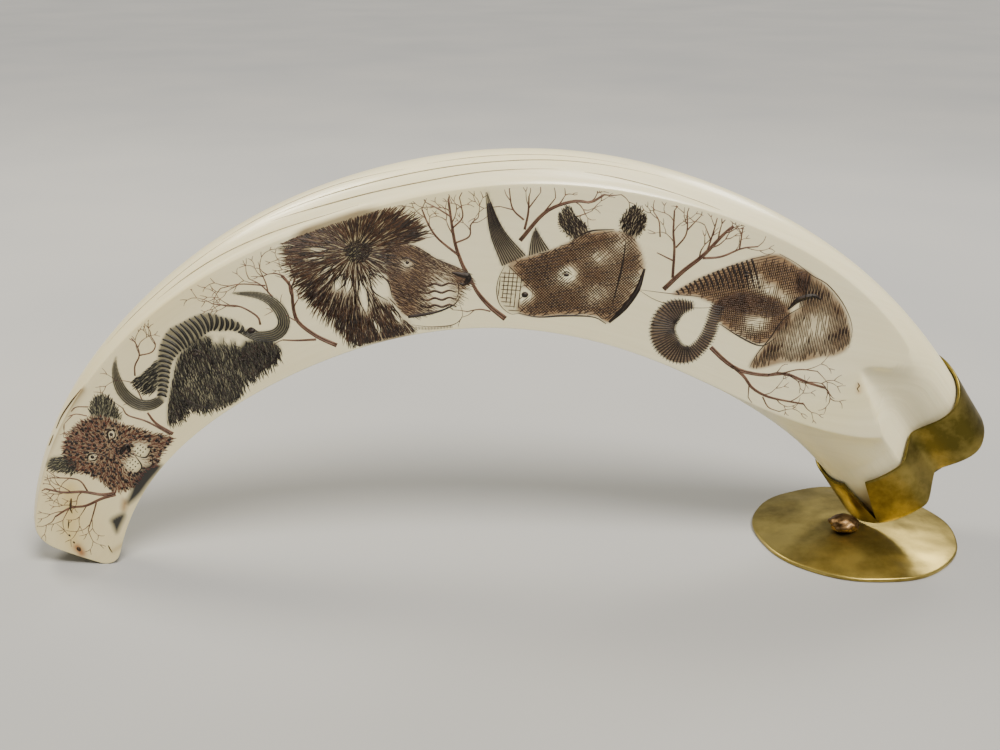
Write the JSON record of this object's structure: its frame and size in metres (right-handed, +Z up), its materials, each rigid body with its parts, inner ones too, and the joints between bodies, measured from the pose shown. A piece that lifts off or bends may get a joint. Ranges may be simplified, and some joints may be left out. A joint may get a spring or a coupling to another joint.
{
  "type": "engraved tusk on a brass foot",
  "caption": "Arched tusk with a flat engraved face, standing on its own tip and on a round brass foot soldered to a folded brass cap.",
  "frame": {"origin": "centre of the bounding box, on the surface that the ornament stands on", "axes": "+X from the tip towards the brass cap and foot, -Y is the way the engraved face looks, +Z up"},
  "size_m": [0.276, 0.06, 0.1165],
  "materials": {
    "ivory": "polished ivory, engraved and inked on its flat face",
    "cap_brass": "folded sheet brass, tarnished to olive",
    "foot_brass": "planished sheet brass, lightly tarnished",
    "solder": "brown-toned solder with bright bumps"
  },
  "bodies": {
    "root": {"warthog_tusk": "ivory", "brass_cap": "cap_brass", "brass_foot": "foot_brass", "solder_joint": "solder"}
  },
  "joints": []
}
